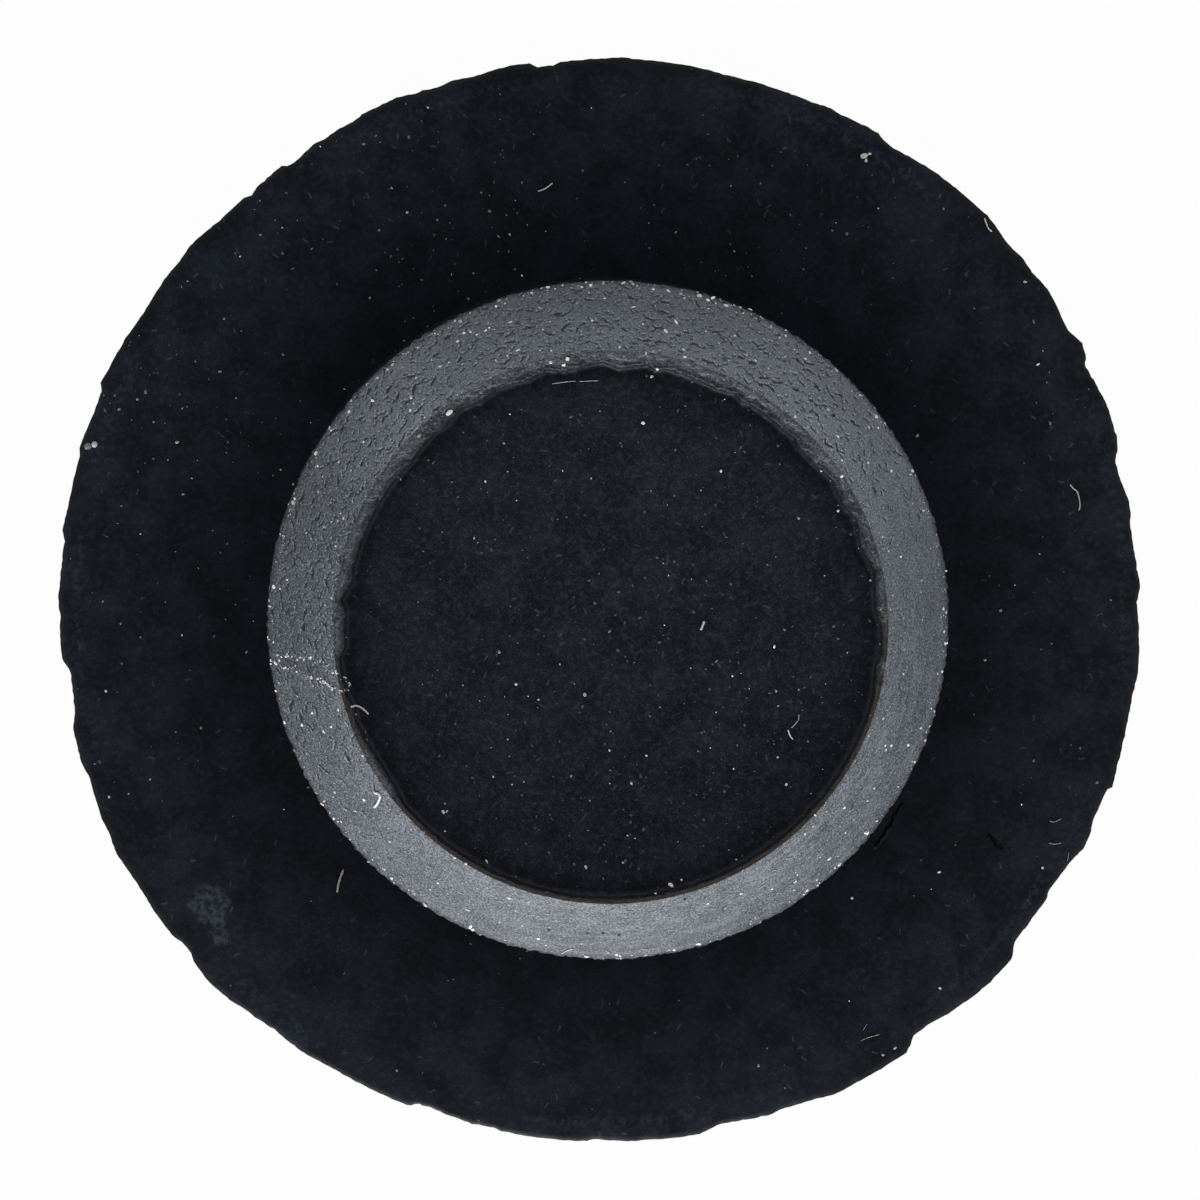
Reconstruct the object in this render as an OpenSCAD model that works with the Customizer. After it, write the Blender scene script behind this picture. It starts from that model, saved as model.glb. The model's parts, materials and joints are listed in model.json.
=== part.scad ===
// Closed rubber grommet: one moulded piece with a flange, a neck that fills the panel's hole,
// and a tapered head that is pushed through the hole and springs back behind the panel.
// The head's end is closed. The back is cored, so that the head can give as it goes in.
// It stands on the flange's back face, with its nose up.

/* [Flange] */
// Diameter of the flange as moulded, without its flash
flange_d = 24; // [20:0.5:40]
// Thickness of the flange
flange_t = 1.6; // [1.3:0.1:3]
// Radius that rounds the rim's edge at the back face
flange_edge_r = 0.4; // [0.1:0.05:0.5]
// Radius that rounds the rim's edge on the head's side, just above the flash
rim_top_r = 0.1; // [0.05:0.05:0.3]

/* [Neck] */
// Diameter of the neck, which fills the panel's hole
neck_d = 13.6; // [12:0.1:14.4]
// Width of the groove round the neck, which takes the panel
groove_w = 2.5; // [1:0.1:4]
// Radius in the two corners of the groove
groove_corner_r = 0.3; // [0.1:0.05:0.4]

/* [Head] */
// Diameter of the head at its widest edge
head_d = 15.1; // [14.8:0.1:18]
// Height of the straight band at the head's widest edge
head_band_h = 1.6; // [0.7:0.1:3]
// Radius under the head's widest edge
head_edge_r = 0.25; // [0.1:0.05:0.3]
// Diameter of the nose, where the lead-in taper ends
nose_d = 12.2; // [12:0.1:14.5]
// Height of the lead-in taper
taper_h = 1.6; // [1:0.1:6]

/* [Closed end] */
// Depth from the torn edge of the nose down to the end face
end_depth = 0.25; // [0.1:0.05:0.5]
// Narrowest edge left standing round the end face
end_edge_w = 0.1; // [0.05:0.05:0.3]
// Depth of the shallow dish in the end face
dish_depth = 0.12; // [0.05:0.01:0.3]
// Diameter of that dish
dish_d = 10.6; // [8:0.1:11]

/* [Cored back] */
// Diameter of the blind hole in the back
core_d = 8.4; // [6:0.1:9.6]
// Thickness of rubber left between the blind hole and the end face
end_wall = 1.5; // [1:0.1:3]
// Radius in the closed end of the blind hole
core_corner_r = 0.8; // [0.3:0.1:1.5]
// Width and depth of the bevel at the hole's mouth
core_bevel = 0.4; // [0.2:0.05:0.6]

/* [Flash] */
// Thickness of the flash film left round the flange by the mould's parting line
flash_t = 0.15; // [0.1:0.05:0.3]
// Depth of the flash's upper side below the flange's face
flash_drop = 0.05; // [0.05:0.05:0.3]

/* [Hidden] */
$fn = 144;

// Small overlap that lets one cut run cleanly past a face
past = 0.5;
// Angle between two corners of the flash's outline, and of the nose's torn edge
flash_step = 0.5;
torn_step = 2;
// Straight pieces in each rounded corner of a profile
corner_steps = 6;

flange_r = flange_d / 2;
neck_r = neck_d / 2;
head_r = head_d / 2;
nose_r = nose_d / 2;
core_r = core_d / 2;
flash_z = flange_t - flash_drop - flash_t;
groove_top_z = flange_t + groove_w;
taper_z = groove_top_z + head_band_h;
nose_z = taper_z + taper_h;
end_z = nose_z - end_depth;
core_end_z = end_z - dish_depth - end_wall;

// How far the flash reaches past the flange, as [angle, reach]. Two entries half a degree apart
// make a step, where a piece of the film has torn away.
FLASH_REACH = [
    [0, 0.17], [1.5, 0.25], [4, 0.18], [8.5, 0.12], [9.5, 0.19], [11, 0.19], [13.5, 0.1],
    [15.5, 0.08], [16.5, 0.23], [18, 0.28], [21.5, 0.31], [26, 0.22], [26.5, 0.25], [27, 0.33],
    [28.5, 0.38], [30, 0.27], [31, 0.25], [35, 0.36], [37.5, 0.3], [39, 0.33], [41.5, 0.29],
    [45, 0.38], [52.5, 0.34], [57.5, 0.24], [59, 0.28], [59.5, 0.35], [64.5, 0.32], [65.5, 0.36],
    [67, 0.31], [77, 0.3], [81, 0.34], [87, 0.35], [87.5, 0.38], [90, 0.34], [94.5, 0.3],
    [95, 0.25], [97, 0.23], [97.5, 0.35], [100, 0.35], [103.5, 0.28], [106, 0.32], [107, 0.28],
    [110, 0.3], [112, 0.36], [116, 0.34], [117, 0.28], [119, 0.29], [120.5, 0.25], [122, 0.28],
    [124.5, 0.18], [125.5, 0.19], [126, 0.28], [129.5, 0.25], [130.5, 0.17], [131, 0.25],
    [135, 0.26], [139, 0.36], [140.5, 0.31], [143, 0.33], [147.5, 0.28], [151.5, 0.35],
    [154, 0.36], [156, 0.41], [156.5, 0.31], [159, 0.28], [163, 0.34], [164, 0.28], [170, 0.28],
    [172, 0.33], [173, 0.25], [175.5, 0.26], [180, 0.31], [181, 0.27], [185, 0.31], [186, 0.27],
    [187, 0.13], [190, 0.16], [191.5, 0.2], [193, 0.31], [197, 0.34], [198.5, 0.27], [203, 0.35],
    [205, 0.33], [207, 0.4], [211, 0.32], [215, 0.35], [218, 0.33], [219, 0.25], [220.5, 0.27],
    [221, 0.35], [224, 0.42], [227, 0.38], [228.5, 0.31], [232.5, 0.25], [236, 0.3], [240, 0.26],
    [249, 0.3], [250, 0.17], [253, 0.2], [256, 0.27], [258, 0.24], [259.5, 0.3], [265, 0.33],
    [268.5, 0.32], [269, 0.28], [272, 0.33], [280, 0.38], [281.5, 0.33], [282.5, 0.24],
    [284, 0.26], [288.5, 0.36], [289, 0.31], [293, 0.37], [295, 0.46], [304, 0.45], [305, 0.32],
    [305.5, 0.22], [308, 0.22], [310, 0.31], [315, 0.43], [319, 0.42], [320.5, 0.22],
    [326.5, 0.2], [327, 0.14], [331, 0.23], [333, 0.36], [334.5, 0.34], [336, 0.26], [339.5, 0.28],
    [340, 0.39], [342, 0.34], [346, 0.29], [350, 0.27], [352, 0.31], [355, 0.28], [360, 0.17],
];

// How far the torn edge of the nose reaches in over the end face, past the narrowest edge,
// as [angle, reach]
TORN_EDGE = [
    [0, 0.05], [4, 0.16], [8, 0.13], [12, 0.06], [18, 0.23], [24, 0.12], [28, 0.22], [34, 0.15],
    [38, 0.25], [44, 0.28], [46, 0.2], [50, 0.24], [56, 0.2], [60, 0.25], [62, 0.18], [66, 0.26],
    [78, 0.17], [80, 0.25], [82, 0.16], [88, 0.28], [92, 0.14], [100, 0.27], [104, 0.14],
    [108, 0.24], [116, 0.18], [120, 0.24], [124, 0.15], [130, 0.26], [132, 0.2], [140, 0.28],
    [148, 0.22], [156, 0.2], [166, 0.18], [170, 0.2], [174, 0.04], [176, 0.16], [184, 0.14],
    [186, 0], [194, 0], [198, 0.07], [200, 0.02], [208, 0.1], [216, 0.1], [220, 0], [344, 0],
    [352, 0.09], [354, 0.01], [360, 0.05],
];

// Points along a rounded corner of a profile
function corner(centre, r, from, to) = [
    for (i = [0 : corner_steps])
        let (a = from + (to - from) * i / corner_steps)
            centre + r * [cos(a), sin(a)]
];

// Corners of an outline whose radius changes with the angle
function torn_outline(base_r, direction, reaches, step) = [
    for (a = [0 : step : 360 - step])
        (base_r + direction * lookup(a, reaches)) * [cos(a), sin(a)]
];

module flange() {
    rotate_extrude()
        polygon(concat(
            [[0, 0]],
            corner([flange_r - flange_edge_r, flange_edge_r], flange_edge_r, -90, 0),
            corner([flange_r - rim_top_r, flange_t - rim_top_r], rim_top_r, 0, 90),
            [[0, flange_t]]
        ));
}

// The neck, with a small radius in both corners of the groove
module neck() {
    foot = flange_t + groove_corner_r;
    top = groove_top_z - groove_corner_r;
    outset = neck_r + groove_corner_r;
    rotate_extrude()
        polygon(concat(
            [[0, flange_t - flange_edge_r], [outset, flange_t - flange_edge_r]],
            corner([outset, foot], groove_corner_r, 270, 180),
            corner([outset, top], groove_corner_r, 180, 90),
            [[outset, groove_top_z + head_edge_r], [0, groove_top_z + head_edge_r]]
        ));
}

// The head: a straight band at its widest edge, then the lead-in taper up to the nose
module head() {
    rotate_extrude()
        polygon(concat(
            [[0, groove_top_z]],
            corner([head_r - head_edge_r, groove_top_z + head_edge_r], head_edge_r, -90, 0),
            [[head_r, taper_z], [nose_r, nose_z], [0, nose_z]]
        ));
}

// What is taken out above the end face: its outline is the torn edge of the nose
module end_recess() {
    dish_r = dish_d / 2;
    dish_sphere_r = (dish_r ^ 2 + dish_depth ^ 2) / (2 * dish_depth);
    translate([0, 0, end_z])
        linear_extrude(end_depth + past)
            polygon(torn_outline(nose_r - end_edge_w, -1, TORN_EDGE, torn_step));
    intersection() {
        translate([0, 0, end_z - dish_depth + dish_sphere_r])
            sphere(dish_sphere_r);
        translate([0, 0, end_z - end_wall])
            cylinder(r = dish_r, h = end_wall + end_depth);
    }
}

// The blind hole in the back
module core() {
    rotate_extrude()
        polygon(concat(
            [[0, -past], [core_r + core_bevel + past, -past], [core_r, core_bevel]],
            corner([core_r - core_corner_r, core_end_z - core_corner_r], core_corner_r, 0, 90),
            [[0, core_end_z]]
        ));
}

// The film that the mould's parting line leaves round the flange
module rim_flash() {
    translate([0, 0, flash_z])
        linear_extrude(flash_t)
            polygon(torn_outline(flange_r, 1, FLASH_REACH, flash_step));
}

module grommet() {
    color("#1d2027")
        difference() {
            union() {
                flange();
                neck();
                head();
                rim_flash();
            }
            end_recess();
            core();
        }
}

grommet();
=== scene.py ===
"""Looks of a closed rubber grommet: black moulded rubber with a grey lead-in taper, torn flash round
the flange and the nose, and the dust and lint that lie on it."""
import json
import math
import random

import bmesh
import bpy
from mathutils import Matrix, Vector
from mathutils.bvhtree import BVHTree


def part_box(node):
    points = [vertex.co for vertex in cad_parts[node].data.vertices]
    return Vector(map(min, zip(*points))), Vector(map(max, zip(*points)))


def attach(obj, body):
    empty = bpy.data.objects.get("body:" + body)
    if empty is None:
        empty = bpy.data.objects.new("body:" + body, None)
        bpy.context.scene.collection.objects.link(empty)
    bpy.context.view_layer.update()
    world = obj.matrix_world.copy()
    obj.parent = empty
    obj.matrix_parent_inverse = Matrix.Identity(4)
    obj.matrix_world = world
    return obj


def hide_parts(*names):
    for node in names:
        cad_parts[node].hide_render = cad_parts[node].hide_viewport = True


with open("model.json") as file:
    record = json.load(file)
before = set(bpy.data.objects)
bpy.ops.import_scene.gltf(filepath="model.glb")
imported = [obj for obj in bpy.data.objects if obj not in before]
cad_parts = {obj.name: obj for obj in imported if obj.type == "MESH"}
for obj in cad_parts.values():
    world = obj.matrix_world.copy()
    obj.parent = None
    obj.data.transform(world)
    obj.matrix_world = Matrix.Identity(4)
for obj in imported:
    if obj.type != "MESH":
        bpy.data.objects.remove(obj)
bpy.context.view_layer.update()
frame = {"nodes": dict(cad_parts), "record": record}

MM = 0.001
CAD_PART = frame["nodes"]["grommet"]
MOUNTS = {mount["name"]: mount for mount in frame["record"]["mounts"]}
GROOVE = MOUNTS["panel_groove"]
HOLE = MOUNTS["back_hole"]

# Sizes of the moulding, in millimetres. Those of the groove, the hole and the whole come from the frame.
NOSE_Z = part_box("grommet")[1].z / MM
NECK_R = GROOVE["dims"]["r_mm"]
FLANGE_T = GROOVE["pos_m"][2] / MM - GROOVE["dims"]["length_mm"] / 2
GROOVE_TOP_Z = FLANGE_T + GROOVE["dims"]["length_mm"]
CORE_R = HOLE["dims"]["r_mm"]
FLANGE_R = 12.0
FLANGE_EDGE_R = 0.4
GROOVE_CORNER_R = 0.3
HEAD_R = 7.55
HEAD_EDGE_R = 0.25
TAPER_Z = GROOVE_TOP_Z + 1.6
NOSE_R = 6.1
LIP_R = NOSE_R - 0.1
END_DEPTH = 0.25
DISH_R = 5.3
DISH_DEPTH = 0.12
END_WALL = 1.5
CORE_CORNER_R = 0.8
CORE_BEVEL = 0.4
FILM_T = 0.15
FILM_TOP_Z = FLANGE_T - 0.05
FILM_Z = FILM_TOP_Z - FILM_T
FILM_MIDDLE_Z = FILM_Z + FILM_T / 2
TEAR_MIDDLE_Z = NOSE_Z - END_DEPTH / 2
END_Z = NOSE_Z - END_DEPTH
CORE_END_Z = END_Z - DISH_DEPTH - END_WALL
# Where the painted shade on the flange round the head begins to fade, and where it ends
SHADE_R = 8.1
SHADE_END_R = 11.2
# A radius outside the whole moulding, from which rays look in at the film
OUTSIDE_R = 30.0
# Level faces above the first height belong to the closed end, and those below the second to the flange
END_LEVEL_Z = 6.5
FLANGE_LEVEL_Z = 2.0
# The axis, and what a place seen from above keeps of its coordinates
AXIS = (0.0, 0.0, 1.0)
FROM_ABOVE = (1.0, 1.0, 0.0)

# The camera, and the photograph's width in pixels and scale at the flange
PHOTO_W = 1200
PX_PER_MM = 44.1
VIEW_DISTANCE = 0.18
VIEW_TILT = math.radians(5.7)
VIEW_SIDE = math.radians(110.5)
VIEW_TARGET = Vector((-0.045, 0.088, FILM_TOP_Z)) * MM
SENSOR_W = 36.0

# The side of the taper that is wrinkled and cracked
WORN_SIDE = (-0.45, 0.89, 0.0)
# The side of the taper that has long fine streaks, and the side where painted light makes it a little paler
STREAKED_SIDE = (0.55, -0.83, 0.0)
PAINTED_LIGHT_SIDE = (0.7, 0.7, 0.0)

# Lint: thickness in millimetres, how straw-coloured it is, and its path in the photograph's pixels
LINT = (
    (0.032, 0.3, ((538, 191.3), (543.8, 189.4), (548.5, 186.4), (552.5, 183.1))),
    (0.028, 0.2, ((984.5, 218), (986.5, 224), (988.5, 228.5), (992, 231.5))),
    (0.026, 0.5, ((1069.9, 484.3), (1073.5, 488.5), (1077.4, 491.8), (1079.3, 499.3), (1079.9, 505.5),
                  (1078.8, 510.5))),
    (0.042, 0.7, ((343.8, 869.1), (340.3, 877.3), (338.4, 884.8), (337.1, 892.3))),
    (0.052, 0.0, ((373.9, 792.1), (379.5, 793.4), (380.8, 796.5), (378.9, 801.5), (375.8, 805.9),
                  (373.9, 806.9))),
    (0.045, 0.4, ((350.5, 706.8), (356.8, 705.8), (363, 708.9), (368.6, 714.5))),
    (0.05, 0.4, ((704.3, 621.1), (702.8, 625.3), (700.9, 629.9))),
    (0.03, 0.1, ((788.1, 729.9), (790, 735.5), (793.1, 739.3))),
    (0.012, 0.1, ((798.8, 714.3), (798.1, 720.5), (791.3, 728))),
    (0.02, 1.0, ((1049.6, 820.6), (1054, 821.9), (1060.9, 818.8))),
    (0.02, 1.0, ((1049, 843.1), (1055, 844), (1061, 843))),
    (0.016, 1.0, ((1068.6, 852.3), (1068.2, 856.2), (1067.4, 860.5))),
    (0.024, 0.3, ((573, 948.5), (568, 950), (561.3, 953.2))),
    (0.009, 0.1, ((552, 383.8), (565, 382), (576, 381))),
    (0.009, 0.1, ((579, 381.6), (588, 381), (598, 380.6))),
    (0.009, 0.4, ((861, 1040.5), (870, 1037), (880, 1034.5))),
    (0.009, 0.4, ((863, 1030), (865, 1027), (867, 1024))),
)

# Chips of rubber and dust: place in the photograph's pixels, length and width in millimetres, turn in
# degrees, and how pale each is
CHIPS = (
    (864, 156, 0.16, 0.12, 20, 0.9), (869.5, 154, 0.10, 0.05, 15, 0.8),
    (866, 160.5, 0.07, 0.09, 0, 0.9), (87.9, 446.6, 0.17, 0.15, 0, 0.2),
    (94.5, 444.5, 0.14, 0.13, 40, 0.5), (670.9, 885.1, 0.14, 0.08, -35, 0.9),
    (681.3, 880.1, 0.05, 0.05, 0, 0.7), (655.6, 893.6, 0.06, 0.05, 0, 0.7),
    (364.1, 799.6, 0.06, 0.08, 60, 1.0), (354.8, 810.9, 0.09, 0.03, 0, 0.6),
    (1042.5, 867.9, 0.07, 0.06, 0, 0.5), (321.9, 804, 0.10, 0.06, -20, 1.0),
    (449.5, 412.4, 0.20, 0.09, 37, 1.0), (419.1, 436.1, 0.10, 0.06, 30, 0.4),
    (372.5, 400.8, 0.10, 0.06, -30, 1.0), (280.4, 588.9, 0.05, 0.05, 0, 0.9),
    (457.6, 341.6, 0.07, 0.07, 0, 1.0), (464.2, 333.2, 0.09, 0.07, 0, 1.0),
    (470.7, 332.2, 0.06, 0.06, 0, 0.9), (485.8, 330.5, 0.08, 0.05, 60, 1.0),
    (489.5, 328, 0.07, 0.05, -50, 1.0), (510.3, 321.9, 0.10, 0.04, 15, 0.8),
    (592.3, 320.7, 0.07, 0.06, 0, 1.0), (676, 322, 0.15, 0.05, -70, 0.9),
    (665.9, 331.2, 0.12, 0.06, -50, 1.0), (633.5, 306.9, 0.10, 0.04, 10, 0.8),
    (713.1, 298, 0.12, 0.07, 30, 1.0), (750, 309.7, 0.11, 0.09, 0, 0.8),
    (567.5, 358.8, 0.09, 0.08, 0, 0.9), (563.8, 365.2, 0.08, 0.07, 0, 0.8),
    (550.9, 362.5, 0.07, 0.07, 0, 0.6), (518, 350.4, 0.10, 0.05, 20, 0.8),
    (684.8, 357.4, 0.08, 0.07, 0, 0.8), (651.9, 376.5, 0.09, 0.06, 20, 0.6),
    (657.3, 369.3, 0.07, 0.06, 0, 0.7), (809.7, 353.1, 0.06, 0.06, 0, 0.9),
    (805.5, 358.9, 0.06, 0.05, 0, 0.9), (891.2, 471.1, 0.07, 0.07, 0, 1.0),
    (837.8, 436.5, 0.10, 0.05, -30, 1.0), (841.9, 460.4, 0.06, 0.06, 0, 0.9),
    (841.9, 476.4, 0.08, 0.06, 0, 1.0), (900.7, 557.2, 0.06, 0.06, 0, 0.9),
    (888.4, 551.4, 0.05, 0.05, 0, 0.8), (882.5, 536.9, 0.05, 0.05, 0, 0.8),
    (946.1, 570.8, 0.05, 0.05, 0, 0.8), (878.1, 427.9, 0.05, 0.05, 0, 0.9),
    (821.5, 471, 0.06, 0.05, 0, 0.8), (838.1, 510.8, 0.06, 0.06, 0, 0.7),
    (920.8, 728, 0.06, 0.06, 0, 0.9), (908.3, 745.1, 0.09, 0.06, -45, 1.0),
    (885.5, 745.7, 0.06, 0.06, 0, 0.9), (874.2, 788.3, 0.05, 0.05, 0, 0.9),
    (867.7, 800.8, 0.05, 0.05, 0, 0.8), (844.5, 807.6, 0.07, 0.07, 0, 1.0),
    (829.2, 858.8, 0.11, 0.05, 45, 1.0), (795.2, 881.8, 0.10, 0.05, 40, 1.0),
    (883.1, 718.4, 0.08, 0.05, 0, 0.7), (903.3, 674, 0.07, 0.04, -40, 0.8),
    (771.8, 889, 0.06, 0.05, 0, 0.9), (947.1, 642.9, 0.05, 0.05, 0, 0.9),
    (538, 938.8, 0.09, 0.06, 20, 1.0), (509.1, 898.3, 0.11, 0.07, -20, 1.0),
    (467.6, 910.2, 0.10, 0.03, -30, 0.8), (741.1, 893.5, 0.08, 0.05, 0, 1.0),
    (708, 903.7, 0.06, 0.05, 0, 0.9), (486.5, 861.2, 0.12, 0.04, -60, 0.6),
    (437.9, 883.1, 0.06, 0.06, 0, 0.9), (389.9, 841.8, 0.05, 0.05, 0, 0.9),
    (334.8, 792.3, 0.05, 0.05, 0, 0.9), (323.8, 731.7, 0.07, 0.07, 0, 1.0),
    (331.3, 726.8, 0.08, 0.05, 30, 0.9), (302.1, 724.7, 0.05, 0.09, 0, 0.9),
    (312.2, 713, 0.07, 0.06, 0, 0.9), (443.4, 812, 0.10, 0.06, -50, 0.6),
    (268, 637, 0.05, 0.05, 0, 0.9), (271, 664, 0.06, 0.06, 0, 1.0), (276, 691, 0.07, 0.05, 0, 1.0),
    (643, 423, 0.09, 0.06, -30, 0.8), (939, 872, 0.08, 0.06, 0, 0.6),
    (852, 898, 0.07, 0.06, 0, 0.6), (940, 988, 0.07, 0.05, 0, 0.6),
    (895, 1048, 0.09, 0.05, 30, 0.5), (883, 1055, 0.07, 0.05, 0, 0.5),
    (106, 691, 0.07, 0.06, 0, 0.5), (109, 797, 0.06, 0.06, 0, 0.5), (1025, 282, 0.08, 0.06, 0, 0.5),
)

# Crumbs on both sides of the crack that crosses the taper, in the photograph's pixels, and how many
# lie round each of these places
CRUMBS = (
    (280, 656), (285, 655), (290, 655.6), (299.4, 658.8), (303, 658.5), (308.8, 658.1),
    (315, 661.3), (322.5, 661.9), (326.3, 666.3), (330.6, 670.6), (333.5, 672.5), (336.3, 673.8),
    (342.5, 678.1), (348.1, 682.3), (350, 685.6), (283.1, 667.5), (292.5, 666.9), (298.8, 671.3),
    (305, 676.3), (308, 677.5), (311.9, 678.1), (318.1, 678.8), (322.5, 682.5), (325.5, 684),
    (328.1, 685.6), (333.8, 688.8), (340, 691.3), (347.5, 690),
)
CRUMBS_EACH = 4

# Slits, a crack, pits and chalky smudges at their places in the photograph's pixels. A smudge also has
# its reach in x and in y, in millimetres.
FOOT_SLIT = ((900.9, 804.6), (891.5, 821.5), (885.3, 831.5), (875.9, 845.3))
FOOT_SLIT_LIP = ((888.5, 830.5), (883, 839), (875.5, 848))
FLANGE_SLIT = ((989.5, 834.6), (1000.1, 849))
CRACK = ((284, 661), (308, 668), (345, 686))
PITS = ((833.8, 415.5), (548.9, 929.9), (603, 933), (587.6, 933.2), (619.1, 935), (684.9, 898.9))
SMUDGES = ((208, 903, 0.34, 0.32), (219, 925, 0.16, 0.34))

# Patterns of noise on the rubber: their cells to the millimetre, their detail and their roughness
CLOUD_PATTERN = (1.1, 3.0, 0.65)
FINE_PATTERN = (7.0, 2.0, 0.7)
GRAIN_PATTERN = (24.0, 1.0, 0.6)
CURL_PATTERN = (5.0, 2.0, 0.6)
STREAK_PATTERN = (1.2, 2.0, 0.6)
STRETCH_PATTERN = (0.3, 1.0)
# Short cracks and curls on the taper: their cells to the millimetre, and how far each reaches across
# and along itself, in millimetres
CRACK_DASHES = (3.0, 0.026, 0.17)
CURL_DASHES = (6.0, 0.022, 0.075)
# How much finer the streaks and the wrinkles are along the axis than round it, and the wrinkles' pattern
STREAK_STRETCH = 9.0
WRINKLE_STRETCH = 3.0
WRINKLE_PATTERN = (1.6, 3.0, 0.6)

# The floor's paint, and how much of a plain white the camera sees in its place
FLOOR_PAINT = (0.8, 0.8, 0.8, 1)
FLOOR_WHITE = 0.97
WHITE = (1, 1, 1, 1)
# The light from the sides and from the ceiling
SIDE_GLOW = 1.15
CEILING_GLOW = 0.08


def linear(red, green, blue):
    """The linear colour of an sRGB one given from 0 to 255."""
    def channel(value):
        value /= 255
        return value / 12.92 if value <= 0.04045 else ((value + 0.055) / 1.055) ** 2.4
    return (channel(red), channel(green), channel(blue), 1.0)


# The rubber's faces, from their darkest to their palest marks
FACE_DEEP = linear(6, 9, 14)
FACE_DARK = linear(10, 16, 25)
FACE_PALE = linear(24, 30, 42)
FACE_MOTTLE = linear(52, 57, 66)
FACE_SPECK = linear(84, 90, 100)
FACE_SCRATCH = linear(88, 96, 108)
END_GRAIN_DARK = linear(8, 10, 15)
END_GRAIN_PALE = linear(60, 64, 73)
# Painted shade in recesses, slits and pits, and a painted highlight on a slit's lip
PAINTED_SHADE_DARK = linear(5, 7, 11)
PAINTED_SHADE_PALE = linear(11, 14, 20)
SLIT_PAINTED_SHADE = linear(2, 2, 3)
SLIT_DEPTH_PAINTED_SHADE = linear(1, 1, 2)
SLIT_LIP_PAINTED_HIGHLIGHT = linear(90, 95, 104)
PIT_PAINTED_SHADE = linear(6, 6, 8)
# The taper's grey, part bloom and part painted reflection, with its streaks, cuts and curls
BLOOM_AND_REFLECTION_DARK = linear(48, 53, 60)
BLOOM_AND_REFLECTION_PALE = linear(122, 129, 137)
BLOOM_SPECK = linear(190, 196, 203)
BLOOM_FROST_AND_PAINTED_LIGHT = linear(168, 175, 184)
BLOOM_PAINTED_SHADE = linear(34, 39, 46)
STREAK_DARK = linear(58, 63, 70)
STREAK_PALE = linear(146, 152, 160)
CUT_PAINTED_SHADE = linear(14, 17, 22)
CURL_PAINTED_SHADE = linear(26, 30, 36)
LIP_PAINTED_HIGHLIGHT = linear(186, 193, 201)
CRACK_PAINTED_SHADE = linear(36, 38, 42)
RIM_PAINTED_SHADE = linear(30, 33, 38)
# Torn rubber, the clean lip, painted shade on the film and a painted highlight along the rim
TORN_DARK = linear(40, 43, 48)
TORN_PALE = linear(104, 109, 116)
TORN_INNER = linear(24, 27, 32)
TORN_FLAKE = linear(138, 143, 149)
TORN_FOOT = linear(16, 17, 20)
CLEAN_DARK = linear(22, 20, 19)
CLEAN_PALE = linear(60, 53, 47)
FILM_PAINTED_SHADE = linear(9, 10, 13)
RIM_PAINTED_HIGHLIGHT = linear(60, 65, 75)
# Chalk, dust and lint
CHALK = linear(72, 79, 83)
DUST_GREY = linear(56, 59, 65)
DUST_WHITE = linear(246, 247, 247)
DUST_CREAM = linear(158, 136, 112)
LINT_WHITE = linear(225, 226, 226)
LINT_STRAW = linear(146, 134, 112)


class Value:
    """An output socket that Python's operators work on, by adding Math nodes to its tree."""

    def __init__(self, graph, socket):
        self.graph = graph
        self.socket = socket

    def __add__(self, other):
        return self.graph.math("ADD", self, other)

    def __sub__(self, other):
        return self.graph.math("SUBTRACT", self, other)

    def __rsub__(self, other):
        return self.graph.math("SUBTRACT", other, self)

    def __mul__(self, other):
        return self.graph.math("MULTIPLY", self, other)

    __radd__ = __add__
    __rmul__ = __mul__

    def output(self, name):
        """Another output of the same node."""
        return Value(self.graph, self.socket.node.outputs[name])


class Graph:
    """A node tree, for a material or for geometry, that is written as expressions."""

    def __init__(self, tree):
        self.tree = tree

    def feed(self, socket, value):
        if isinstance(value, Value):
            self.tree.links.new(value.socket, socket)
        else:
            socket.default_value = value

    def node(self, kind, settings=None, inputs=None, output=0):
        made = self.tree.nodes.new(kind)
        for name, value in (settings or {}).items():
            setattr(made, name, value)
        for name, value in (inputs or {}).items():
            self.feed(made.inputs[name], value)
        return Value(self, made.outputs[output]) if made.outputs else made

    def math(self, operation, *values, clamp=False):
        settings = {"operation": operation, "use_clamp": clamp}
        return self.node("ShaderNodeMath", settings, dict(enumerate(values)))

    def vector(self, operation, *values):
        result = "Value" if operation in ("LENGTH", "DISTANCE", "DOT_PRODUCT") else "Vector"
        inputs = dict(enumerate(values))
        if operation == "SCALE":
            inputs = {"Vector": values[0], "Scale": values[1]}
        return self.node("ShaderNodeVectorMath", {"operation": operation}, inputs, result)

    def split(self, vector):
        first = self.node("ShaderNodeSeparateXYZ", inputs={0: vector})
        return first, first.output("Y"), first.output("Z")

    def join(self, x, y, z):
        return self.node("ShaderNodeCombineXYZ", inputs={0: x, 1: y, 2: z})

    def step(self, value, low, high):
        """0 up to low and 1 from high on, with a smooth change between. Low may be the higher one."""
        settings = {"interpolation_type": "SMOOTHSTEP"}
        return self.node("ShaderNodeMapRange", settings, {0: value, 1: low, 2: high})

    def blend(self, share, first, second):
        """A colour between two."""
        settings = {"data_type": "RGBA"}
        return self.node("ShaderNodeMix", settings, {0: share, 6: first, 7: second}, 2)

    def noise(self, vector, scale, detail=2.0, roughness=0.5):
        inputs = {"Vector": vector, "Scale": scale, "Detail": detail, "Roughness": roughness}
        return self.node("ShaderNodeTexNoise", inputs=inputs)


# Geometry

def corner(centre_r, centre_z, radius, start, end, steps):
    """Points round a corner of the profile, between two angles in degrees."""
    angles = [math.radians(start + (end - start) * i / steps) for i in range(steps + 1)]
    return [(centre_r + radius * math.cos(a), centre_z + radius * math.sin(a)) for a in angles]


def line(start, end, steps):
    """Points from start to just before end."""
    return [
        tuple(s + (e - s) * i / steps for s, e in zip(start, end))
        for i in range(steps)
    ]


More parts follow.
